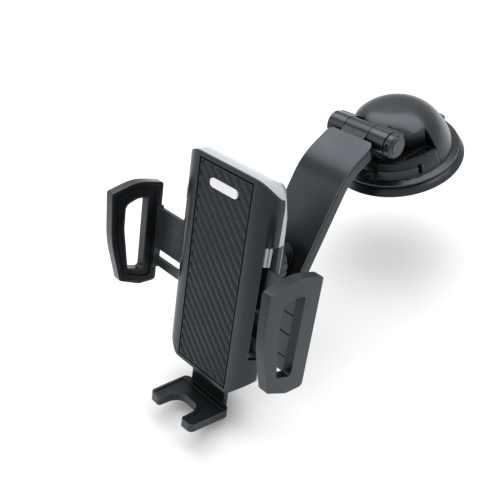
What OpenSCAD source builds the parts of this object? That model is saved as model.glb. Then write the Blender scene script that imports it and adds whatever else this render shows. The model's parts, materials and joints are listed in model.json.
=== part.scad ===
// Car phone mount: a suction base with a lever lock, a hinged curved arm,
// a ball joint and a cradle whose two side jaws close together on a phone.
// Origin: centre of the sticky suction face. +Z leaves the surface it sticks to,
// +X is the hinge axis, and the cradle hangs in front, towards -Y.

/* [Suction base] */
// Diameter of the rubber cup
cup_d = 70; // [68:1:74]
// Diameter of the rigid ring above the cup
ring_d = 65.2; // [64:0.2:66]
// Diameter of the dome shaped lever at its foot
dome_d = 60; // [58:0.5:61]
// Height of the dome above the suction face
dome_h = 30; // [29:0.5:32]
// Travel of the stem that pulls the cup up, mm
stem_travel = 2.5; // [1.5:0.1:2.6]
// Opening angle of the lock lever, degrees
lever_open = 60; // [40:1:60]

/* [Arm and hinge] */
// Width of the curved arm
arm_w = 28.2; // [27:0.2:30]
// Depth of the arm from its outer face to its cover
arm_t = 6.6; // [6:0.2:8]
// Diameter of the hinge barrel
barrel_d = 12; // [11:0.5:12.5]
// Diameter of the ball in the swivel joint
ball_d = 16; // [15:0.5:16.5]

/* [Phone cradle] */
// Width of the cradle body across its widest line
body_w = 57.4; // [56:0.2:60]
// Depth of the cradle body
body_d = 19; // [18.5:0.5:21]
// Width of the grip pad
pad_w = 34; // [30:0.5:35]
// Height of the grip pad
pad_h = 102.5; // [101:0.5:103]
// Gap between the jaws when they are fully open
jaw_gap = 100; // [99:1:104]
// How far each jaw closes
jaw_travel = 19; // [15:0.5:19]
// Backward lean of the cradle, degrees
lean = 25; // [20:1:28]

/* [Hidden] */

$fn = 64;
slack = 0.05;            // running clearance on a radius

// base
hinge = [-23.5, 28.5];   // y, z of the hinge axis
lever_axis = [-6.5, 20.5];
deck_z = 14;
ear_in = 7.8;            // ears run from here ...
ear_out = 17.5;          // ... to here, each side of the middle
bolt_r = 2.5;
pin_r = 1.5;
stem_r = 4;

// arm, seen from its side: straight, arc, straight
arm_start = [-30.4, 31.7];
arm_corner = [-52, 27.5];
arm_end = [-96, -12.8];
slope_a = atan2(arm_start[1] - arm_corner[1], arm_start[0] - arm_corner[0]);
slope_b = atan2(arm_corner[1] - arm_end[1], arm_corner[0] - arm_end[0]);
arm_bend_r = 34;
arm_wall = 2;

// cradle frame: x as the base, y back from the pad's face, z up from the pad's top edge
ball_at = [0, -100.3, 1];
ball_in_cradle = [0, 30, -52];
ball_r = ball_d / 2;
face_w = 37.6;           // width of the flat front
shell_top = 2.5;
shell_bottom = -104.5;
pillow_a = (body_w - face_w) / 2;
pillow_b = 8;
split_y = 8.3;           // where front and rear shells meet
back_a = 14;             // half axis along x of the rear shell's rounded sides
wall = 2;

// sliders, in two layers one behind the other
layer_a = [5.6, 7.4];    // right slider
layer_b = [7.8, 9.6];    // left slider
gear_z = -52;
gear_teeth = 16;
gear_module = 0.8;
gear_r = gear_teeth * gear_module / 2;
jaw_in = jaw_gap / 2;
jaw_t = 4.7;
foot_top = -118;

// ---------------------------------------------------------------- helpers
function unit(v) = v / norm(v);
function angle_of(v) = atan2(v[1], v[0]);
function half_turn(a) = (a + 900) % 360 - 180;

// One corner b of an outline, between its neighbours, rounded to radius r
function corner(a, b, c, r) = r <= 0 ? [b] :
    let(u = unit(a - b), v = unit(c - b), half = acos(u * v) / 2,
        mid = b + unit(u + v) * r / sin(half),
        from = angle_of(b + u * r / tan(half) - mid),
        turn = half_turn(angle_of(b + v * r / tan(half) - mid) - from),
        n = max(4, ceil(abs(turn) / 11)))
    [for (i = [0:n]) mid + r * [cos(from + turn * i / n), sin(from + turn * i / n)]];

// Outline with each corner rounded to its own radius
function rounded(pts, radii) = let(n = len(pts))
    [for (i = [0:n - 1]) each corner(pts[(i + n - 1) % n], pts[i], pts[(i + 1) % n], radii[i])];

// Counter-clockwise outline moved inwards by d
function inset(pts, d) = let(n = len(pts))
    [for (i = [0:n - 1])
        let(e = unit(pts[i] - pts[(i + n - 1) % n]), f = unit(pts[(i + 1) % n] - pts[i]),
            p = [-e[1], e[0]], q = [-f[1], f[0]])
        pts[i] + (p + q) * d / (1 + p * q)];

function flip(pts) = [for (i = [len(pts) - 1:-1:0]) pts[i]];

// Child outline drawn in y and z, from x0 to x1
module yz(x0, x1) { translate([x0, 0, 0]) rotate([90, 0, 90]) linear_extrude(x1 - x0) children(); }
// Child outline drawn in x and z, from y0 to y1
module xz(y0, y1) { translate([0, y1, 0]) rotate([90, 0, 0]) linear_extrude(y1 - y0) children(); }
// Cylinder along x
module rod_x(x0, x1, r, y = 0, z = 0)
    translate([x0, y, z]) rotate([0, 90, 0]) cylinder(h = x1 - x0, r = r);
// Cylinder along y
module rod_y(y0, y1, r, x = 0, z = 0)
    translate([x, y1, z]) rotate([90, 0, 0]) cylinder(h = y1 - y0, r = r);
module block(lo, hi) { translate(lo) cube(hi - lo); }
module both_sides() { children(); mirror([1, 0, 0]) children(); }

module in_cradle() { translate(ball_at) rotate([-lean, 0, 0]) translate(-ball_in_cradle) children(); }
// Local z runs from the ball's centre towards the arm
module at_ball() { in_cradle() translate(ball_in_cradle) rotate([-90, 0, 0]) children(); }

// Wire coil standing on z = 0
module coil(r, wire, height, turns, per_turn = 14, sides = 6) {
    n = ceil(turns * per_turn);
    ring = [for (i = [0:n], k = [0:sides - 1])
        let(a = 360 * turns * i / n, b = 360 * k / sides, q = r + wire * cos(b))
        [q * cos(a), q * sin(a), wire + (height - 2 * wire) * i / n + wire * sin(b)]];
    skin = [for (i = [0:n - 1], k = [0:sides - 1])
        let(a = i * sides + k, b = i * sides + (k + 1) % sides)
        each [[a, b, b + sides], [a, b + sides, a + sides]]];
    ends = [[for (k = [sides - 1:-1:0]) k], [for (k = [0:sides - 1]) n * sides + k]];
    polyhedron(points = ring, faces = concat(skin, ends));
}

// ---------------------------------------------------------------- suction base
// The dome's outline, g inside its outer face
function dome_r(z, g) = (dome_d / 2 - g) * pow(1 - pow((z - 3) / (dome_h - 3 - g), 1.29), 0.3155);
module dome(g, n = 22) {
    rise = dome_h - 3 - g;
    rotate_extrude() polygon(concat([[0, 3]],
        [for (i = [0:n]) let(z = 3 + rise * (1 - pow(1 - i / n, 2))) [i == n ? 0 : dome_r(z, g), z]]));
}

module suction_cup() color([0.05, 0.05, 0.06]) {
    rim = cup_d / 2;
    rotate_extrude() polygon([[0, 1], [rim - 3, 1], [rim - 3, 0], [rim, 0], [rim, 0.7], [rim - 2, 2.6],
        [rim - 4.4, 4.1], [rim - 7, 4.6], [14, 5.4], [12.5, 6.9], [6.8, 6.9], [6.8, 6.4], [9.2, 6.4],
        [9.2, 1.5], [0, 1.5]]);
}

module gel_pad() color([0.2, 0.2, 0.21]) cylinder(h = 1, r = cup_d / 2 - 3.05);

// Barrel of one ear, the fairing behind it and the narrower web below it
module ear(x0, x1) {
    rod_x(x0, x1, barrel_d / 2, hinge[0], hinge[1]);
    yz(x0, x1) polygon([[hinge[0], hinge[1]], [hinge[0], hinge[1] + barrel_d / 2], [-17, 31.9],
        [-12.7, 28.1], [-16, 24], [-18.5, 23]]);
    yz(x0, x0 + 3.4) polygon([[-20.8, deck_z - 1], [-21, deck_z + 0.6], [-26.4, 21], [-27.6, 23.5],
        [hinge[0] - 3, hinge[1]], [hinge[0], hinge[1] + 2], [-17, 28], [-16, 24], [-16.2, 20.5],
        [-17.6, 17], [-18, deck_z - 1]]);
}

// Outline of the small tray beside each hub, g outside its opening
module tray(g) intersection() {
    circle(r = 25 + g);
    polygon([[17.9 - g, -30], [18 - g, -19.9], [21.1 - g, -1.3 + g], [30, -1.3 + g], [30, -30]]);
}

module base_housing() color([0.1, 0.105, 0.115]) {
    r = ring_d / 2;
    difference() {
        union() {
            rotate_extrude() polygon([[stem_r + slack, 9.6], [7.4, 9.6], [7.4, 7.4], [13.4, 7.4],
                [14.2, 5.8], [28.5, 5], [r - 1.4, 4.6], [r, 4.6], [r, 5.5], [29.9, 6.4], [25, 6.4],
                [24, 8], [13.4, 8], [13.4, 11], [stem_r + slack, 11]]);
            difference() {
                intersection() { dome(0); block([-40, -40, 6], [40, -0.2, deck_z]); }
                translate([0, 0, 5]) cylinder(h = 6, r = 13.5);
                block([-10.5, -40, 5], [10.5, -20.8, 16]);
                block([-10.5, -21, 5], [10.5, -17, 12.4]);
            }
            both_sides() translate([0, 0, deck_z - 1]) linear_extrude(1.7) tray(1);
            both_sides() block([8, -3, 7.5], [15.2, 4, deck_z]);
            intersection() {
                translate([0, 0, 7.2]) difference() {
                    cylinder(h = 3.8, r = 28.9);
                    cylinder(h = 3.8, r = 26);
                }
                both_sides() linear_extrude(20)
                    polygon([[11.7, -4.5], [40, -15.5], [40, -60], [11.7, -60]]);
            }
            both_sides() ear(ear_in, ear_out);
        }
        block([-7.9, -12.6, 11], [7.9, 6.4, 20]);
        block([-7.5, -21, 10], [7.5, -12.5, 20]);
        both_sides() translate([0, 0, deck_z - 1.3]) difference() {
            linear_extrude(6) tray(0);
            for (y = [-12.5:3:-3.5]) block([15, y, -1], [27, y + 0.8, 0.5]);
        }
        both_sides() rotate([0, 0, -25.5]) block([26.2, -1, 6.9], [30, 1, 12]);
        rod_x(-20, 20, bolt_r + slack, hinge[0], hinge[1]);
        translate([-ear_out - 1, hinge[0], hinge[1]]) rotate([0, 90, 0])
            cylinder(h = 4.6, r = 4.75, $fn = 6);
    }
}

module hinge_nut() color("silver") difference() {
    translate([-ear_out - 0.4, hinge[0], hinge[1]]) rotate([0, 90, 0]) cylinder(h = 3.9, r = 4.6, $fn = 6);
    rod_x(-20, 0, bolt_r + slack, hinge[0], hinge[1]);
}

module hinge_washers() color([0.6, 0.6, 0.62]) both_sides() difference() {
    rod_x(7.35, 7.75, 5.2, hinge[0], hinge[1]);
    rod_x(7, 8, bolt_r + slack, hinge[0], hinge[1]);
}

// ---------------------------------------------------------------- lever lock
module lock_stem() color([0.3, 0.3, 0.32]) difference() {
    union() {
        translate([0, 0, 4.2]) cylinder(h = 1.4, r = 8.8);
        translate([0, 0, 4.2]) cylinder(h = 11, r = stem_r);
        block([-7.5, -6.5, 13.8], [7.5, 4.2, 24.1]);
        rod_x(-7.5, 7.5, 3.6, lever_axis[0], lever_axis[1]);
    }
    rod_x(-9, 9, pin_r, lever_axis[0], lever_axis[1]);
}

module lever_pin() color("silver") rod_x(-12.6, 12.6, pin_r, lever_axis[0], lever_axis[1]);

module lift_spring() color("silver") translate([0, 0, 5.6]) coil(5.6, 0.5, 4, 3.2);

// Side view of a lever hub: the cam curve lets the stem down evenly as the lever opens
module hub_outline() {
    height = lever_axis[1] - deck_z - 0.35;
    rate = stem_travel / (lever_open * PI / 180);
    cam = [for (i = [8:-1:0]) let(t = lever_open * i / 8, a = -90 - t, h = height - stem_travel * i / 8)
        lever_axis + h * [cos(a), sin(a)] + rate * [-sin(a), cos(a)]];
    polygon(concat([[lever_axis[0] - 4, 25], [lever_axis[0] - 3.6, 19.7]], cam,
        [[1.5, deck_z + 0.35], [1.5, 25]]));
}

module lock_lever() color([0.11, 0.115, 0.125]) difference() {
    union() {
        intersection() {
            difference() { dome(0); dome(2); }
            block([-40, 0.2, 6.7], [40, 40, 40]);
        }
        intersection() { dome(0); block([-40, -12, 24.5], [40, 3, 40]); }
        intersection() { dome(0); block([-7.1, -16.6, 24.5], [7.1, 3, 40]); }
        intersection() {
            dome(0);
            both_sides() yz(8, 20) hub_outline();
            linear_extrude(40) both_sides()
                polygon([[8, -10.6], [14.6, -10.6], [15, -9.4], [19.8, 0], [19.8, 1.5], [8, 1.5]]);
        }
        intersection() {
            translate([0, 0, 6.7]) difference() { cylinder(h = 2.4, r = 31.8); cylinder(h = 2.4, r = 28); }
            block([-9, 20, 6.7], [9, 40, 12]);
        }
    }
    rod_x(-13, 13, pin_r + slack, lever_axis[0], lever_axis[1]);
}

// ---------------------------------------------------------------- hinge hardware
module hinge_bolt() color("silver") {
    rod_x(-16, 19.2, bolt_r, hinge[0], hinge[1]);
}

module hinge_knob() color([0.13, 0.135, 0.145]) difference() {
    union() {
        rod_x(18.4, 21.3, 6, hinge[0], hinge[1]);
        translate([21.3, hinge[0], hinge[1]]) rotate([0, 90, 0]) cylinder(h = 0.9, r1 = 6, r2 = 5.2);
        rod_x(22.2, 22.6, 4, hinge[0], hinge[1]);
    }
    rod_x(17, 19.2, bolt_r, hinge[0], hinge[1]);
    translate([18.9, hinge[0], hinge[1]]) rotate([-30, 0, 0]) block([0, -7, -1.1], [2, -5.2, 1.1]);
}

// ---------------------------------------------------------------- arm
// A line along the arm, o below its outer face, cut short by e0 and e1 at its ends
function arm_line(o, e0 = 0, e1 = 0) =
    let(na = [-sin(slope_a), cos(slope_a)], nb = [-sin(slope_b), cos(slope_b)],
        lead = arm_bend_r * tan((slope_b - slope_a) / 2),
        mid = arm_corner + lead * [cos(slope_a), sin(slope_a)] - arm_bend_r * na)
    concat([arm_start - na * o - e0 * [cos(slope_a), sin(slope_a)]],
        [for (i = [0:8]) let(a = slope_a + (slope_b - slope_a) * i / 8)
            mid + (arm_bend_r - o) * [-sin(a), cos(a)]],
        [arm_end - nb * o + e1 * [cos(slope_b), sin(slope_b)]]);

module arm_layer(x, o0, o1, e0 = 0, e1 = 0)
    yz(-x, x) polygon(concat(arm_line(o0, e0, e1), flip(arm_line(o1, e0, e1))));

// Local z points out of the cover; s is the distance up the lower straight from its end
module on_lower_arm(s) translate([0, arm_end[0] + s * cos(slope_b), arm_end[1] + s * sin(slope_b)])
    rotate([slope_b + 180, 0, 0]) children();

screw_spots = [[8, 8], [-8, 8], [8, 40], [-8, 40]];

module arm_shell() color([0.12, 0.125, 0.135]) difference() {
    union() {
        difference() {
            intersection() {
                arm_layer(arm_w / 2, 0, arm_t);
                translate([0, 0, -60]) linear_extrude(120) polygon(rounded([[-arm_w / 2, -104],
                    [arm_w / 2, -104], [arm_w / 2, -30], [-arm_w / 2, -30]], [9, 9, 4, 4]));
            }
            arm_layer(arm_w / 2 - arm_wall, arm_wall, arm_t + 2, 2.4, 2.4);
        }
        rod_x(-7.3, 7.3, barrel_d / 2, hinge[0], hinge[1]);
        yz(-7.3, 7.3) polygon([[-31, 31.4], [-25.5, 34], [-23.5, 23], [-26.5, 23.4], [-31, 25.6]]);
        for (p = screw_spots) on_lower_arm(p[1]) translate([p[0], 0, 1]) cylinder(h = arm_t - 2.9, r = 2.2);
        intersection() {
            at_ball() translate([0, 0, 10.3]) cylinder(h = 9, r = 6.5);
            arm_layer(arm_w / 2 - 1, -6, arm_t - 2);
        }
    }
    rod_x(-9, 9, bolt_r + slack, hinge[0], hinge[1]);
    at_ball() translate([0, 0, 9]) cylinder(h = 8, r = 2.5 + slack);
    for (p = screw_spots) on_lower_arm(p[1]) translate([p[0], 0, 2.2]) cylinder(h = 9, r = 0.9);
    both_sides() yz(arm_w / 2 - 0.35, arm_w / 2 + 1)
        polygon(concat(arm_line(1.3, 5), flip(arm_line(1.8, 5))));
}

module arm_cover() color([0.1, 0.105, 0.115]) difference() {
    arm_layer(arm_w / 2 - arm_wall - 0.1, arm_t - 1.8, arm_t, 2.5, 2.5);
    for (p = screw_spots) on_lower_arm(p[1]) translate([p[0], 0, 0]) {
        cylinder(h = 12, r = 1.1);
        translate([0, 0, arm_t - 0.9]) cylinder(h = 4, r = 2.1);
    }
}

module arm_screws() color("silver") for (p = screw_spots) on_lower_arm(p[1]) translate([p[0], 0, 0]) {
    translate([0, 0, 2.4]) cylinder(h = arm_t - 3, r = 0.9);
    translate([0, 0, arm_t - 0.9]) difference() {
        cylinder(h = 0.9, r = 2);
        for (a = [0, 90]) rotate([0, 0, a]) block([-1.3, -0.25, 0.5], [1.3, 0.25, 1]);
    }
}

module ball_stud() color([0.5, 0.51, 0.53]) at_ball() {
    sphere(r = ball_r);
    cylinder(h = 10.3, r = 3.4);
    translate([0, 0, 9.3]) cylinder(h = 1, r = 5);
    cylinder(h = 16, r = 2.5);
}

// ---------------------------------------------------------------- ball joint
// Part of a shell around the ball, between two planes
module ball_zone(r0, r1, z0, z1, hole = 0) difference() {
    intersection() { sphere(r = r1); translate([0, 0, z0]) cylinder(h = z1 - z0, r = 20); }
    sphere(r = r0);
    if (hole > 0) translate([0, 0, -20]) cylinder(h = 20, r = hole);
}

module seat_washer() color([0.75, 0.75, 0.7]) at_ball()
    ball_zone(ball_r + slack, ball_r + 0.85, -8, -6.3, 3);
module ball_liner() color([0.8, 0.8, 0.78]) at_ball() ball_zone(ball_r + slack, ball_r + 0.85, -4, 3.6);

module ball_socket() color([0.12, 0.12, 0.13]) at_ball() difference() {
    union() {
        translate([0, 0, -11]) cylinder(h = 2, r = 14);
        translate([0, 0, -10]) cylinder(h = 14.5, r = 10.3);
    }
    sphere(r = ball_r + 0.9);
    for (a = [45, 135]) rotate([0, 0, a]) block([-12, -0.6, -2], [12, 0.6, 6]);
    for (a = [0:90:270]) rotate([0, 0, a]) translate([12.1, 0, 0]) {
        translate([0, 0, -12]) cylinder(h = 4, r = 0.95);
        translate([0, 0, -9.6]) cylinder(h = 1, r = 1.7);
    }
}

module lock_nut() color([0.1, 0.1, 0.11]) at_ball() difference() {
    translate([0, 0, -8.4]) cylinder(h = 14.4, r = 12);
    translate([0, 0, -9]) cylinder(h = 13.9, r = 10.35);
    translate([0, 0, 4]) cylinder(h = 3, r = 6.6);
    for (a = [0:20:340]) rotate([0, 0, a]) translate([12.5, 0, -7]) cylinder(h = 14, r = 1);
}

module socket_screws() color("silver") at_ball() for (a = [0:90:270]) rotate([0, 0, a]) {
    translate([12.1, 0, -13.2]) cylinder(h = 4, r = 0.9);
    translate([12.1, 0, -9.6]) cylinder(h = 0.5, r = 1.6);
}

// ---------------------------------------------------------------- cradle shells
// Cross-section of the cradle's front, g inside its outer face
function pillow(g) = concat(
    [[-body_w / 2 + g, split_y]],
    [for (i = [0:8]) let(a = 90 * i / 8)
        [-face_w / 2 - (pillow_a - g) * cos(a), pillow_b - (pillow_b - g) * sin(a)]],
    [for (i = [8:-1:0]) let(a = 90 * i / 8)
        [face_w / 2 + (pillow_a - g) * cos(a), pillow_b - (pillow_b - g) * sin(a)]],
    [[body_w / 2 - g, split_y]]);

// Front view outline of the cradle body, g inside its edge
function body_outline(g) = let(h = body_w / 2)
    rounded(inset([[-18.8, shell_bottom], [18.8, shell_bottom], [h, -94.5], [h, shell_top],
        [-h, shell_top], [-h, -94.5]], g), [for (r = [4, 4, 4, 10.7, 10.7, 4]) r - min(g, wall)]);

// Cross-section of the cradle's back, g inside its outer face
function back_curve(g) = let(m = body_w / 2 - back_a, a = back_a - g, b = body_d - split_y - g)
    concat([for (i = [0:9]) [m + a * cos(10 * i), split_y + b * sin(10 * i)]],
        [for (i = [9:-1:0]) [-m - a * cos(10 * i), split_y + b * sin(10 * i)]]);

// Side view of the rear shell, y and z, g inside its outer face
function side_line(g) = let(a = 17 - g, b = 12 - g, c = 7 - g)
    concat([[0, shell_bottom + g]],
        [for (i = [0:6]) [12 + c * sin(15 * i), shell_bottom + 7 - c * cos(15 * i)]],
        [for (i = [0:9]) [2 + a * cos(10 * i), shell_top - 12 + b * sin(10 * i)]],
        [[0, shell_top - g]]);

module along_z(pts) translate([0, 0, -130]) linear_extrude(160) polygon(pts);
module body_prism(g, y0, y1) xz(y0, y1) polygon(body_outline(g));
module pillow_prism(g) along_z(pillow(g));
module side_prism(g) yz(-40, 40) polygon(side_line(g));

// Cuts the rear shell's upper corners on a slant, so that they end on the front shell's edge
module corner_prism(g) let(r = 10.7, x = body_w / 2 - r)
    rotate([0, 0, 45]) xz(-60, 60) polygon(concat([[-60, -130], [29 - g, -130], [29 - g, -40],
        [28.4 - g, -26], [28.1 - g, -19.4], [27.7 - g, -13], [27.1 - g, -9]],
        [for (a = [15:15:90]) [(x + r * cos(a) + split_y) / sqrt(2) + 0.4 - g, shell_top - r + r * sin(a)]],
        [[-60, shell_top + 1]]));

// Band along the upper edge where the front shell is thin, g wide
module rim_band(g) difference() {
    body_prism(-1, -1, split_y + 1);
    body_prism(g, -2, split_y + 2);
    block([-40, -3, -130], [40, 20, -7.2 - g]);
}

corner_spots = [[19, -15], [-19, -15], [19, -89], [-19, -89]];

module front_shell() color([0.17, 0.18, 0.195]) in_cradle() difference() {
    union() {
        difference() {
            intersection() { pillow_prism(0); body_prism(0, -1, split_y); }
            intersection() { pillow_prism(wall); body_prism(-1, -1, split_y + 1); }
            intersection() { pillow_prism(0.8); rim_band(1.8); }
        }
        for (p = corner_spots) rod_y(1.5, split_y, 2.6, p[0], p[1]);
        block([21, 1.9, -71], [22.8, 5.3, -66.8]);
        block([-3.4, 1.9, -24], [-1.6, 5.6, -19]);
    }
    block([-pad_w / 2 - 0.3, -1, -pad_h - 0.3], [pad_w / 2 + 0.3, 1.2, 0.3]);
    both_sides() block([22.8, 2.8, -82], [40, 12.2, -25.5]);
    for (p = corner_spots) rod_y(3, split_y + 1, 0.9, p[0], p[1]);
    block([-40, 2.9, -24.4], [-20, 6.9, -17.6]);
}

module rear_shell() color([0.78, 0.79, 0.81]) in_cradle() difference() {
    intersection() {
        union() {
            along_z(concat(pillow(wall + 0.02), back_curve(0)));
            intersection() { pillow_prism(0.82); rim_band(1.77); }
        }
        body_prism(0, 0, body_d);
        side_prism(0);
        corner_prism(0);
        mirror([1, 0, 0]) corner_prism(0);
    }
    difference() {
        intersection() {
            along_z(concat([[-30, -1], [30, -1]], back_curve(wall + 0.01)));
            body_prism(wall, 1, body_d);
            side_prism(wall);
            corner_prism(wall);
            mirror([1, 0, 0]) corner_prism(wall);
        }
        for (p = corner_spots) rod_y(split_y, body_d, 2.6, p[0], p[1]);
        for (p = frame_spots) rod_y(13.6, body_d, 2.6, p[0], p[1]);
    }
    block([-40, 1, -82], [40, 12.2, -25.5]);
    block([-13, 5.9, shell_bottom - 1], [13, 8.9, shell_bottom + 3]);
    for (p = corner_spots) {
        rod_y(split_y - 1, 25, 1.1, p[0], p[1]);
        rod_y(body_d - 2.2, 25, 2.1, p[0], p[1]);
    }
    for (p = frame_spots) rod_y(13, 16.8, 0.9, p[0], p[1]);
    for (a = [0:90:270]) translate([0, body_d, gear_z]) rotate([-90, a, 0]) translate([12.1, 0, -3])
        cylinder(h = 6, r = 0.9);
}

// Two light bars in the right side opening, above the slider
module guide_bars() color([0.78, 0.79, 0.81]) in_cradle() intersection() {
    union() {
        block([18.9, 2.12, -34.7], [20.1, 5.6, -25.7]);
        block([20, 3.3, -34.7], [40, 4.1, -25.7]);
        block([20, 4.7, -34.7], [40, 5.6, -25.7]);
    }
    pillow_prism(0.15);
}

module grip_pad() color([0.2, 0.21, 0.225]) in_cradle() difference() {
    block([-pad_w / 2, 0, -pad_h], [pad_w / 2, 1.2, 0]);
    xz(-0.1, 0.6) badge_outline(0.05);
}

module badge_outline(g) let(x = 8.9 + g, lo = -10.55 - g, hi = -6.25 + g)
    polygon(rounded([[-x, lo], [x, lo], [x, hi], [-x, hi]], [for (i = [0:3]) 2.1 + g]));
module badge() color([0.95, 0.95, 0.95]) in_cradle() xz(-0.35, 0.6) badge_outline(0);

// ---------------------------------------------------------------- cradle mechanism
frame_spots = [[17, -34], [-17, -34], [17, -76], [-17, -76]];

module mid_frame() color([0.3, 0.31, 0.33]) in_cradle() difference() {
    union() {
        xz(12.2, 13.6) polygon(rounded([[-21, -80], [21, -80], [21, -29], [-21, -29]], [3, 3, 3, 3]));
        rod_y(9.8, 12.4, 3, 0, gear_z);
        rod_y(9.8, 12.4, 2.4, -12, -30);
    }
    rod_y(9, 14, pin_r, 0, gear_z);
    rod_y(9, 14, 1, -12, -30);
    for (p = frame_spots) rod_y(11, 14, 1.1, p[0], p[1]);
}

module frame_screws() color("silver") in_cradle() for (p = frame_spots) {
    rod_y(12.2, 16.6, 0.9, p[0], p[1]);
    rod_y(11.9, 12.2, 1.8, p[0], p[1]);
}

module case_screws() color("silver") in_cradle() for (p = corner_spots) {
    rod_y(4, body_d - 2.2, 0.9, p[0], p[1]);
    difference() {
        rod_y(body_d - 2.2, body_d - 1.1, 2, p[0], p[1]);
        for (a = [0, 90]) translate([p[0], body_d, p[1]]) rotate([0, a, 0])
            block([-1.3, -1.6, -0.25], [1.3, 0.1, 0.25]);
    }
}

module pinion_pin() color("silver") in_cradle() {
    rod_y(5.0, 13.6, pin_r, 0, gear_z);
    rod_y(4.4, 5.2, 2.4, 0, gear_z);
}

// Involute flank: half the tooth's angle at radius r
function tooth_half(r) = let(base = gear_r * cos(20), at = r <= base ? 0 : acos(base / r),
        inv = tan(at) - at * PI / 180, inv_p = tan(20) - 20 * PI / 180)
    (PI / (2 * gear_teeth) - 0.09 / gear_r + inv_p - inv) * 180 / PI;

module pinion() color([0.85, 0.82, 0.7]) in_cradle() difference() {
    tip = gear_r + 0.62;
    root = gear_r - 0.95;
    flank = [for (i = [0:4]) root + (tip - root) * i / 4];
    translate([0, 0, gear_z]) xz(5.7, 9.5) polygon([for (k = [0:gear_teeth - 1])
        let(mid = 90 + 360 * k / gear_teeth)
        each concat([for (r = flank) r * [cos(mid - tooth_half(r)), sin(mid - tooth_half(r))]],
            [for (r = flip(flank)) r * [cos(mid + tooth_half(r)), sin(mid + tooth_half(r))]])]);
    rod_y(5, 10, pin_r + slack, 0, gear_z);
}

// Rack teeth along x with gaps centred on x = 0; up is 1 or -1
module rack_teeth(x0, x1, up) {
    pitch = PI * gear_module;
    z = gear_z - up * gear_r;
    n0 = ceil(x0 / pitch - 0.5);
    n1 = floor(x1 / pitch - 0.5);
    for (i = [n0:n1]) let(x = (i + 0.5) * pitch, s = up)
        polygon([[x + s * 0.9, z - up * 0.95], [x + s * 0.9, z - up * 0.9], [x + s * 0.53, z],
            [x + s * 0.3, z + up * 0.6], [x - s * 0.3, z + up * 0.6], [x - s * 0.53, z],
            [x - s * 0.9, z - up * 0.9], [x - s * 0.9, z - up * 0.95]]);
}

module left_slider() color([0.3, 0.32, 0.33]) in_cradle() {
    edge = -27.2;
    root = gear_z + gear_r + 0.9;
    xz(layer_b[0], layer_b[1]) {
        polygon([[-jaw_in - 1.6, -62], [edge, -62], [edge, root], [4, root], [4, -40],
            [-jaw_in - 1.6, -40]]);
        rack_teeth(-26, 3.8, -1);
        for (i = [0:9]) let(x = -34 + i * 2.4) polygon([[x, -40.2], [x + 2, -40.2], [x, -39.4]]);
        polygon([[-jaw_in - 1.6, -71.4], [-10, -71.4], [-10, -66.7], [-jaw_in - 1.6, -66.7]]);
    }
    block([-22.2, 3, -71], [-20.5, layer_b[0] + 0.1, -67]);
    block([-jaw_in - 1.6, layer_a[0], -72.5], [-jaw_in, layer_b[1], -38.8]);
}

module right_slider() color([0.3, 0.32, 0.33]) in_cradle() difference() {
    edge = 27.2;
    root = gear_z - gear_r - 0.9;
    union() {
        xz(layer_a[0], layer_a[1]) polygon([[-4, -64.5], [edge, -64.5], [edge, -73], [10, -73],
            [10, -77.6], [jaw_in + 1.6, -77.6], [jaw_in + 1.6, -36.6], [edge, -36.6], [edge, root],
            [-4, root]]);
        xz(layer_a[0], layer_a[1]) rack_teeth(-3.8, 26, 1);
        for (i = [0:3]) let(x = 28 + i * 2.4)
            xz(layer_a[0], layer_a[1]) polygon([[x, -37], [x + 2, -37], [x + 2, -36]]);
    }
    for (z = [-49.3, -59.1, -70.2]) block([34.5, 5, z - 0.45], [48, 8, z + 0.45]);
}

// Outline of a jaw and of its window, y and z
jaw_pts = [[-14, -75], [-2, -79.8], [8, -79.8], [8.2, -26.2], [-7, -23.2], [-21.3, -27.2], [-20.3, -52]];
jaw_rad = [2, 6, 2, 1.5, 24, 1.2, 60];
win_pts = [[-9.6, -69], [-0.8, -71.4], [-0.6, -33], [-6, -32], [-13, -34.6], [-13, -47]];
win_rad = [1.5, 1.5, 0.8, 8, 3.4, 12];

module jaw_ring(x0, x1, d = 0, w = 0) yz(x0, x1) difference() {
    polygon(rounded(inset(jaw_pts, d), [for (r = jaw_rad) max(r - d, 0.5)]));
    polygon(rounded(inset(win_pts, -w), [for (r = win_rad) r + w]));
}

// Right jaw's ring, its pad recess on the inner face
module jaw_body() difference() {
    jaw_ring(jaw_in, jaw_in + jaw_t);
    jaw_ring(jaw_in - 1, jaw_in + 0.9, 1.7, 1.1);
}

module left_jaw() color([0.12, 0.125, 0.135]) in_cradle() difference() {
    mirror([1, 0, 0]) jaw_body();
    block([-jaw_in - 1.6, layer_a[0], -72.5], [0, 12, -38.8]);
}

module right_jaw() color([0.2, 0.21, 0.22]) in_cradle() difference() {
    jaw_body();
    block([0, layer_a[0], -77.6], [jaw_in + 1.6, layer_a[1], -36.6]);
}

// Pad of the right jaw, with one raised line around it
module pad_ring() {
    jaw_ring(jaw_in + 0.2, jaw_in + 0.9, 1.75, 1.15);
    yz(jaw_in - 0.4, jaw_in + 0.5) difference() {
        polygon(rounded(inset(jaw_pts, 3.6), [for (r = jaw_rad) max(r - 3.6, 0.5)]));
        polygon(rounded(inset(jaw_pts, 4.3), [for (r = jaw_rad) max(r - 4.3, 0.4)]));
    }
}

module right_jaw_pad() color([0.06, 0.06, 0.07]) in_cradle() difference() {
    pad_ring();
    block([0, layer_a[0] - 0.05, -77.7], [jaw_in + 1.6, 12, -36.5]);
}

module left_jaw_pad() color([0.06, 0.06, 0.07]) in_cradle() difference() {
    mirror([1, 0, 0]) pad_ring();
    block([-jaw_in - 1.6, layer_a[0] - 0.05, -72.6], [0, 12, -38.7]);
}

module jaw_spring() color("silver") in_cradle()
    translate([-20.4, 3.7, -69]) rotate([0, 90, 0]) coil(1.3, 0.22, 41.2, 18, 8, 5);

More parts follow.
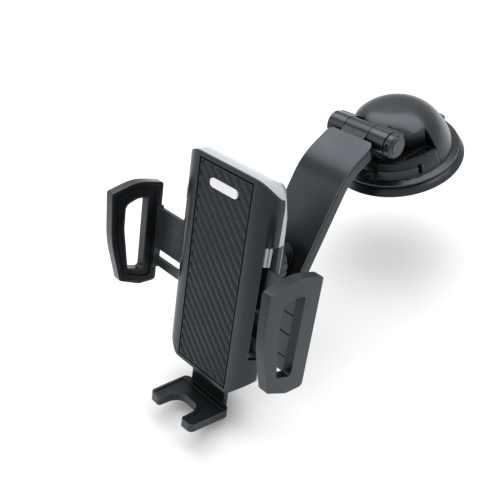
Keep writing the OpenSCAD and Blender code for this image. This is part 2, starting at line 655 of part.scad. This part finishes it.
// ---------------------------------------------------------------- foot
fork_pts = [[-15.8, -16.4], [-8.2, -16.8], [-8, -9], [-5.5, -4.4], [5.5, -4.4], [8, -9], [8.2, -16.8],
    [15.8, -16.4], [16.4, 7.2], [-16.4, 7.2]];
fork_rad = [2.6, 1.6, 6, 4, 4, 6, 1.6, 2.6, 3, 3];

module fork_prong(g, z0, z1) intersection() {
    translate([0, 0, z0]) linear_extrude(z1 - z0)
        polygon(rounded(inset(fork_pts, g), [for (r = fork_rad) max(r - g, 0.4)]));
    block([-20, -20, -200], [20, 3.5, 0]);
}

module foot() color([0.11, 0.115, 0.125]) in_cradle() {
    difference() {
        translate([0, 0, foot_top - 4.4]) linear_extrude(4.4) polygon(rounded(fork_pts, fork_rad));
        fork_prong(1.5, foot_top - 1.3, foot_top + 1);
    }
    difference() {
        union() {
            block([-12.3, 6.2, foot_top - 1], [12.3, 8.6, -95]);
            block([-12.3, 6.2, -97], [12.3, 11.7, -95]);
            block([-12.3, 10, -97], [12.3, 11.7, -82]);
        }
        block([-20, 6, -120], [-12, 6.8, -97]);
    }
}

module foot_pads() color([0.05, 0.05, 0.055]) in_cradle() fork_prong(1.6, foot_top - 1.3, foot_top - 0.5);

// ---------------------------------------------------------------- release button and pawl
module release_button() color([0.07, 0.07, 0.08]) in_cradle() {
    intersection() { block([-30, 3.2, -24.1], [-24, 6.6, -17.9]); pillow_prism(-0.3); }
    block([-24.5, 3.4, -22.6], [-14.2, 5.4, -20.6]);
    block([-17, 3.4, -22.6], [-14.2, layer_b[1] - 0.2, -20.6]);
    block([-23, 3.3, -23.4], [-22, 5.5, -19.6]);
}

module button_spring() color("silver") in_cradle()
    translate([-13.9, 4.4, -21.6]) rotate([0, 90, 0]) coil(1.2, 0.2, 10.4, 7, 8, 5);

module pawl() color([0.8, 0.78, 0.7]) in_cradle() difference() {
    xz(layer_b[0], layer_b[1]) polygon([[-13.9, -20.6], [-11.2, -20.6], [-9.4, -30], [-10.6, -32.4],
        [-14, -32.6], [-18.6, -37], [-19.9, -39.1], [-20.8, -38.3], [-20, -35.6], [-14.6, -29.6]]);
    rod_y(5, 12, 1 + slack, -12, -30);
}

module pawl_pin() color("silver") in_cradle() {
    rod_y(7, 13.6, 1, -12, -30);
    rod_y(6.6, 7.6, 1.8, -12, -30);
}

suction_cup();
gel_pad();
base_housing();
hinge_nut();
hinge_washers();
lock_stem();
lever_pin();
lift_spring();
lock_lever();
hinge_bolt();
hinge_knob();
arm_shell();
arm_cover();
arm_screws();
ball_stud();
seat_washer();
ball_liner();
lock_nut();
ball_socket();
socket_screws();
rear_shell();
front_shell();
guide_bars();
grip_pad();
badge();
mid_frame();
frame_screws();
case_screws();
pinion_pin();
pinion();
left_slider();
left_jaw();
left_jaw_pad();
jaw_spring();
right_slider();
right_jaw();
right_jaw_pad();
foot();
foot_pads();
release_button();
button_spring();
pawl();
pawl_pin();
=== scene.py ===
import json
import math

import bmesh
import bpy
from mathutils import Matrix, Vector

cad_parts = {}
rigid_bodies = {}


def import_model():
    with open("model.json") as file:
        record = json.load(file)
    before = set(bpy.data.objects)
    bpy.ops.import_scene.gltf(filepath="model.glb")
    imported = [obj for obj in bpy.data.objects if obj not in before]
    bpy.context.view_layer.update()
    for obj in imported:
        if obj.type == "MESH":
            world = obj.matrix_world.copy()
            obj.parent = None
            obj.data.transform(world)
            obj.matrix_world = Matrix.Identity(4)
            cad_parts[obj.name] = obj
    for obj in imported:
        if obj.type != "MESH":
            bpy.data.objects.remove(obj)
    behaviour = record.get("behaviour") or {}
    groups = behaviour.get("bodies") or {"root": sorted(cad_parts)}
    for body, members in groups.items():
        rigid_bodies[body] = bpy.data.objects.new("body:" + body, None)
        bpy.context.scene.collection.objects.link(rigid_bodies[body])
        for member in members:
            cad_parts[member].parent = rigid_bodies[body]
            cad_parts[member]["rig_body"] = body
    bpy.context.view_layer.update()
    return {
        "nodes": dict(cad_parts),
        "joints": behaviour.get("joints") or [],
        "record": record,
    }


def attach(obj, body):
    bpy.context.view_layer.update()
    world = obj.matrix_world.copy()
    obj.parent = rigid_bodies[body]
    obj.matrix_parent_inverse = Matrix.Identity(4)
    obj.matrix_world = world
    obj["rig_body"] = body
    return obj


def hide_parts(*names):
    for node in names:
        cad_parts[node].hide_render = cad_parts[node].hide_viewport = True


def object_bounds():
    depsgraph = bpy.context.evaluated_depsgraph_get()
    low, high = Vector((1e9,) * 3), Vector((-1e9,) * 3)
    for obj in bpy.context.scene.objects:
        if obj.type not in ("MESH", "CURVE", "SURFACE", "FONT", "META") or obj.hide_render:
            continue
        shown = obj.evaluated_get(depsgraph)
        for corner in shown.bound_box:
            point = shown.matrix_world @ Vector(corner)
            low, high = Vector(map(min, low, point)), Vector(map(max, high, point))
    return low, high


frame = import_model()
NODES = frame["nodes"]
MM = 0.001


# ---------------------------------------------------------------- places
def joint(name):
    """The frame's record of one joint: its place and axis at rest."""
    return next(j for j in frame["joints"] if j["name"] == name)


BALL = Vector(joint("ball_roll")["pos_m"])
# The cradle's own frame: x to the right, y back from the pad's face, z up from the pad's top edge
BALL_IN_CRADLE = Vector((0, 30, -52)) * MM
BACK = Vector(joint("ball_roll")["axis"])
UP = Vector(joint("ball_swivel")["axis"])
TURN = Matrix((Vector((1, 0, 0)), BACK, UP)).transposed().to_4x4()
CRADLE = Matrix.Translation(BALL) @ TURN @ Matrix.Translation(-BALL_IN_CRADLE)


# ---------------------------------------------------------------- camera
def aim(obj, position, right, up):
    """Puts obj at position in mm, with its picture's right and up along the two given directions."""
    right, up = Vector(right), Vector(up)
    back = right.cross(up)
    turn = Matrix((right, up, back)).transposed().to_4x4()
    obj.matrix_world = Matrix.Translation(Vector(position) * MM) @ turn


camera = bpy.data.objects.new("camera", bpy.data.cameras.new("camera"))
bpy.context.scene.collection.objects.link(camera)
camera.data.sensor_width = 36
camera.data.lens = 54.9
camera.data.clip_start = 0.01
aim(camera, (216.1, -245.7, 251.5), (0.6738, 0.7152, -0.1856), (-0.411, 0.5715, 0.7102))
bpy.context.scene.camera = camera
bpy.context.scene.view_settings.view_transform = "Standard"


def panel_light(name, size, power, position, target):
    """A rectangular area light: size, position and target in mm, power in watts."""
    light = bpy.data.objects.new(name, bpy.data.lights.new(name, "AREA"))
    light.data.shape = "RECTANGLE"
    light.data.size, light.data.size_y = size[0] * MM, size[1] * MM
    light.data.energy = power
    light.location = Vector(position) * MM
    light.rotation_mode = "QUATERNION"
    toward = (Vector(target) - Vector(position)).normalized()
    light.rotation_quaternion = toward.to_track_quat("-Z", "Y")
    bpy.context.scene.collection.objects.link(light)


# ---------------------------------------------------------------- materials
PAINTED_SHADE_REACH = 18       # mm within which nearby pieces darken the sheen: painted shade in gaps and hollows
EDGE_RADIUS = 0.35     # mm of each corner that is lightened, as wear and as painted highlight
GLOSS_SCALE = 60       # noise cells per metre: slow changes of gloss
TINT_SCALE = 220       # noise cells per metre: changes of colour
COOL_SHEEN = (0.74, 0.87, 1.0, 1)


class Surface:
    """A node material: fine grain, uneven gloss, painted shade in gaps, and edges lightened as wear and
    painted highlight, on one base colour.
    """

    def __init__(self, name, colour, rough, metal=0.0, grain=0.0, grain_size=0.25, uneven=0.05,
                 wear_and_highlight=0.0, coat=0.0, specular=0.5, vary=0.12):
        self.material = bpy.data.materials.new(name)
        self.material.use_nodes = True
        self.tree = self.material.node_tree
        self.shader = self.tree.nodes["Principled BSDF"]
        self.place = self.node("ShaderNodeTexCoord").outputs["Object"]
        self.set("Metallic", metal)
        if not metal:
            self.set("Specular Tint", COOL_SHEEN)
        # Painted shade: the sheen and the coat are turned down in gaps and hollows
        painted_gap_shade = self.painted_shade_in_gaps(PAINTED_SHADE_REACH)
        sheen = self.scale(painted_gap_shade, 0.04, specular, (0.35, 0.97))
        self.join(sheen, self.shader.inputs["Specular IOR Level"])
        if coat:
            self.join(self.scale(painted_gap_shade, 0, coat, (0.4, 0.97)), self.shader.inputs["Coat Weight"])
        self.set("Coat Roughness", 0.12)
        gloss = self.scale(self.noise(GLOSS_SCALE, 3), rough - uneven, rough + uneven)
        self.join(gloss, self.shader.inputs["Roughness"])
        darker = [c * (1 - vary) for c in colour]
        lighter = [min(1, c * (1 + vary)) for c in colour]
        tint = self.mix(self.noise(TINT_SCALE, 2), darker, lighter)
        # Edges lightened: partly wear, partly a painted highlight where edges would catch the light
        if wear_and_highlight:
            tint = self.mix(self.edges(), tint, [min(1, c * 1.5 + wear_and_highlight) for c in colour])
        self.join(tint, self.shader.inputs["Base Color"])
        if grain:
            self.bump(self.noise(1 / (grain_size * MM), 2), grain)

    def node(self, kind, **values):
        made = self.tree.nodes.new(kind)
        for key, value in values.items():
            setattr(made, key, value)
        return made

    def join(self, a, b):
        self.tree.links.new(a, b)

    def set(self, socket, value):
        self.shader.inputs[socket].default_value = value

    def noise(self, scale, detail):
        made = self.node("ShaderNodeTexNoise")
        made.inputs["Scale"].default_value = scale
        made.inputs["Detail"].default_value = detail
        self.join(self.place, made.inputs["Vector"])
        return made.outputs["Fac"]

    def scale(self, value, low, high, source=(0.3, 0.7)):
        made = self.node("ShaderNodeMapRange")
        for socket, number in zip(("From Min", "From Max", "To Min", "To Max"), (*source, low, high)):
            made.inputs[socket].default_value = number
        self.join(value, made.inputs["Value"])
        return made.outputs["Result"]

    def mix(self, factor, a, b):
        made = self.node("ShaderNodeMix", data_type="RGBA")
        self.join(factor, made.inputs["Factor"])
        for socket, value in ((made.inputs["A"], a), (made.inputs["B"], b)):
            if isinstance(value, bpy.types.NodeSocket):
                self.join(value, socket)
            else:
                socket.default_value = (*value, 1)
        return made.outputs["Result"]

    def painted_shade_in_gaps(self, reach):
        """1 in the open, lower deep in gaps and hollows within reach mm: a mask for painted shade."""
        made = self.node("ShaderNodeAmbientOcclusion", samples=6)
        made.inputs["Distance"].default_value = reach * MM
        return made.outputs["AO"]

    def edges(self):
        """1 where the surface turns sharply outwards or inwards, 0 on flat stretches."""
        bevel = self.node("ShaderNodeBevel", samples=4)
        bevel.inputs["Radius"].default_value = EDGE_RADIUS * MM
        geometry = self.node("ShaderNodeNewGeometry")
        dot = self.node("ShaderNodeVectorMath", operation="DOT_PRODUCT")
        self.join(bevel.outputs["Normal"], dot.inputs[0])
        self.join(geometry.outputs["Normal"], dot.inputs[1])
        return self.scale(dot.outputs["Value"], 1, 0, (0.9, 0.995))

    def bump(self, height, depth):
        made = self.node("ShaderNodeBump")
        made.inputs["Distance"].default_value = depth * MM
        made.inputs["Strength"].default_value = 0.8
        self.join(height, made.inputs["Height"])
        self.join(made.outputs["Normal"], self.shader.inputs["Normal"])


LOOKS = {
    "cup_rubber": Surface("cup_rubber", (0.006, 0.006, 0.007), 0.3, grain=0.01, wear_and_highlight=0.004, coat=0.2),
    "gel": Surface("gel", (0.02, 0.02, 0.022), 0.3, grain=0.02, uneven=0.1),
    "black_plastic": Surface("black_plastic", (0.005, 0.006, 0.007), 0.32, grain=0.012, wear_and_highlight=0.06, coat=0.25),
    "dome_plastic": Surface("dome_plastic", (0.006, 0.007, 0.008), 0.32, grain=0.006, wear_and_highlight=0.02, coat=0.2),
    "arm_plastic": Surface("arm_plastic", (0.004, 0.0045, 0.005), 0.33, grain=0.012, wear_and_highlight=0.05, coat=0.1),
    "body_plastic": Surface("body_plastic", (0.006, 0.007, 0.008), 0.34, grain=0.012, wear_and_highlight=0.05, coat=0.2,
                            specular=0.42),
    "silver_plastic": Surface("silver_plastic", (0.42, 0.44, 0.46), 0.3, grain=0.004, metal=0.15,
                              vary=0.03),
    "pad_rubber": Surface("pad_rubber", (0.007, 0.008, 0.009), 0.42, grain=0.01, grain_size=0.12),
    "badge_plastic": Surface("badge_plastic", (0.85, 0.85, 0.86), 0.22, vary=0.02),
    "steel": Surface("steel", (0.55, 0.55, 0.56), 0.3, metal=1.0, grain=0.004),
    "ball_metal": Surface("ball_metal", (0.4, 0.41, 0.43), 0.25, metal=1.0),
    "white_nylon": Surface("white_nylon", (0.72, 0.7, 0.62), 0.45, grain=0.01),
    "slider_plastic": Surface("slider_plastic", (0.034, 0.038, 0.04), 0.4, grain=0.012, wear_and_highlight=0.02),
    "jaw_plastic": Surface("jaw_plastic", (0.004, 0.0045, 0.005), 0.36, grain=0.012, wear_and_highlight=0.03, coat=0.1,
                           specular=0.4),
    "jaw_rubber": Surface("jaw_rubber", (0.003, 0.0035, 0.004), 0.5, grain=0.01, grain_size=0.12,
                          specular=0.3),
    "frame_plastic": Surface("frame_plastic", (0.03, 0.032, 0.035), 0.5, grain=0.02),
}


# ---------------------------------------------------------------- pieces
def add_object(name, mesh):
    """A new object in the scene that shows mesh."""
    made = bpy.data.objects.new(name, mesh)
    bpy.context.scene.collection.objects.link(made)
    return made


def stands_for(piece, node):
    """Lets piece move with the CAD node's body and take the node's place."""
    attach(piece, NODES[node]["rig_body"])
    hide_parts(node)
    return piece


WELD = 2e-6            # metres within which two corners of a mesh are one
FLAT_ANGLE = 0.6       # degrees between faces that count as one flat face
CORNER_ANGLE = 25      # degrees from which an edge is rounded


def soften(node, width):
    """Stands for a CAD node with a copy of its mesh whose edges are rounded by width mm."""
    mesh = NODES[node].data.copy()
    piece = add_object(node + "_finish", mesh)
    work = bmesh.new()
    work.from_mesh(mesh)
    bmesh.ops.remove_doubles(work, verts=work.verts, dist=WELD)
    bmesh.ops.dissolve_limit(work, angle_limit=math.radians(FLAT_ANGLE), verts=work.verts, edges=work.edges)
    work.to_mesh(mesh)
    work.free()
    mesh.shade_smooth()
    mesh.set_sharp_from_angle(angle=math.radians(CORNER_ANGLE))
    bevel = piece.modifiers.new("edges", "BEVEL")
    bevel.width = width * MM
    bevel.segments = 2
    bevel.limit_method = "ANGLE"
    bevel.angle_limit = math.radians(CORNER_ANGLE)
    bevel.harden_normals = True
    return stands_for(piece, node)


# The grip pad, in mm: x and z run over its face, and a depth is measured back from its front
RIB_PITCH = 4.0
RIB_DEPTH = 0.85
BLOCK_LENGTH = 1.9
BLOCK_DEPTH = 0.16
BORDER_DEPTH = 0.06
OUTLINE_WIDTH = 0.5
OUTLINE_DEPTH = 0.9
BORDER_WIDTH = 1.2
BADGE_Z = -8.4
BADGE_HALF_LENGTH = 6.75       # from the badge's middle to the centre of its round end
BADGE_RADIUS = 2.15
BADGE_GAP = 0.35
BADGE_GAP_DEPTH = 0.7
BADGE_BORDER = 1.0
PAD_CLEARANCE = 0.02           # keeps the pad's face inside the CAD solid's


def rib_depth(x, z):
    """How far the pad's face lies behind its highest line: slanting ribs made of short blocks."""
    across = (x + z) / math.sqrt(2) / RIB_PITCH
    along = (x - z) / math.sqrt(2) / BLOCK_LENGTH + 0.5 * math.floor(across)
    rib = math.sqrt(0.5 - 0.5 * math.cos(2 * math.pi * across))
    block = (0.5 + 0.5 * math.cos(2 * math.pi * along)) ** 3
    return RIB_DEPTH * (1 - rib) + BLOCK_DEPTH * block * rib


def pad_depth(x, z, edge):
    """Ribs, a plain raised border beside the pad's dark outline, and the badge's own border."""
    badge = math.hypot(max(abs(x) - BADGE_HALF_LENGTH, 0), z - BADGE_Z) - BADGE_RADIUS
    if edge < OUTLINE_WIDTH:
        return OUTLINE_DEPTH
    if badge < BADGE_GAP:
        return BADGE_GAP_DEPTH
    if edge < BORDER_WIDTH or badge < BADGE_BORDER:
        return BORDER_DEPTH
    return rib_depth(x, z)


def ribbed_pad(step=0.3):
    """Grip pad with its ribs as real geometry, closed at its sides and back."""
    into_cradle = CRADLE.inverted()
    cad_pad = NODES["grip_pad"]
    to_face = into_cradle @ cad_pad.matrix_world
    spots = [to_face @ v.co / MM for v in cad_pad.data.vertices]
    left, right = min(v.x for v in spots), max(v.x for v in spots)
    bottom, top = min(v.z for v in spots), max(v.z for v in spots)
    back = max(v.y for v in spots)
    columns, rows = round((right - left) / step), round((top - bottom) / step)
    work = bmesh.new()
    front = []
    for k in range(rows + 1):
        for i in range(columns + 1):
            x, z = left + (right - left) * i / columns, bottom + (top - bottom) * k / rows
            edge = min(x - left, right - x, z - bottom, top - z)
            face = Vector((x, PAD_CLEARANCE + pad_depth(x, z, edge), z))
            front.append(work.verts.new(CRADLE @ (face * MM)))
    for k in range(rows):
        for i in range(columns):
            a = k * (columns + 1) + i
            work.faces.new((front[a], front[a + 1], front[a + columns + 2], front[a + columns + 1]))
    rim = [e for e in work.edges if len(e.link_faces) == 1]
    skirt = bmesh.ops.extrude_edge_only(work, edges=rim)["geom"]
    for vert in [v for v in skirt if isinstance(v, bmesh.types.BMVert)]:
        place = into_cradle @ vert.co
        place.y = back * MM
        vert.co = CRADLE @ place
    bmesh.ops.holes_fill(work, edges=[e for e in work.edges if len(e.link_faces) == 1], sides=0)
    bmesh.ops.recalc_face_normals(work, faces=work.faces)
    mesh = bpy.data.meshes.new("grip_pad_ribs")
    work.to_mesh(mesh)
    work.free()
    mesh.shade_smooth()
    mesh.set_sharp_from_angle(angle=math.radians(60))
    return stands_for(add_object("grip_pad_ribs", mesh), "grip_pad")


# Width of the rounded edges of each casing and rubber piece, in mm
ROUNDING = {"suction_cup": 0.3, "base_housing": 0.25, "lock_lever": 0.4, "lock_stem": 0.4,
            "hinge_knob": 0.25, "arm_shell": 0.6, "arm_cover": 0.25,
            "lock_nut": 0.35, "ball_socket": 0.3,
            "front_shell": 0.25, "rear_shell": 0.3, "badge": 0.2, "guide_bars": 0.1,
            "left_slider": 0.12, "left_jaw": 0.6, "left_jaw_pad": 0.12,
            "right_slider": 0.12, "right_jaw": 0.6, "right_jaw_pad": 0.12,
            "foot": 0.9, "foot_pads": 0.1, "release_button": 0.3}
# Pieces whose look differs from that of their material slot
OWN_LOOK = {"right_jaw": "jaw_plastic", "left_jaw_pad": "jaw_rubber", "right_jaw_pad": "jaw_rubber"}
slots = {s["node"]: s["material_slot"] for s in frame["record"]["subparts"]}

for node, obj in sorted(NODES.items()):
    if node == "grip_pad":
        piece = ribbed_pad()
    elif node in ROUNDING:
        piece = soften(node, ROUNDING[node])
    else:
        piece = obj
    piece.data.materials.clear()
    piece.data.materials.append(LOOKS[OWN_LOOK.get(node, slots[node])].material)

# ---------------------------------------------------------------- floor and studio light
FLOOR_HALF = 4         # metres
FLOOR_GAP = 2          # mm below the lowest piece

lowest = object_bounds()[0].z
floor_z = lowest - FLOOR_GAP * MM
floor_mesh = bpy.data.meshes.new("floor")
floor_corners = [(FLOOR_HALF * x, FLOOR_HALF * y, floor_z) for x, y in ((-1, -1), (1, -1), (1, 1), (-1, 1))]
floor_mesh.from_pydata(floor_corners, [], [(0, 1, 2, 3)])
floor = add_object("floor", floor_mesh)
floor_mesh.materials.append(Surface("floor", (0.9, 0.9, 0.9), 0.8, uneven=0.0, vary=0.0).material)

world = bpy.data.worlds.new("studio")
world.use_nodes = True
sky = world.node_tree.nodes["Background"]
sky.inputs["Color"].default_value = (1, 1, 1, 1)
sky.inputs["Strength"].default_value = 0.72
bpy.context.scene.world = world
panel_light("overhead", (1800, 700), 13, (-100, 330, 900), (0, -60, 0))
panel_light("front", (900, 500), 1.5, (-500, -700, 500), (0, -70, 0))
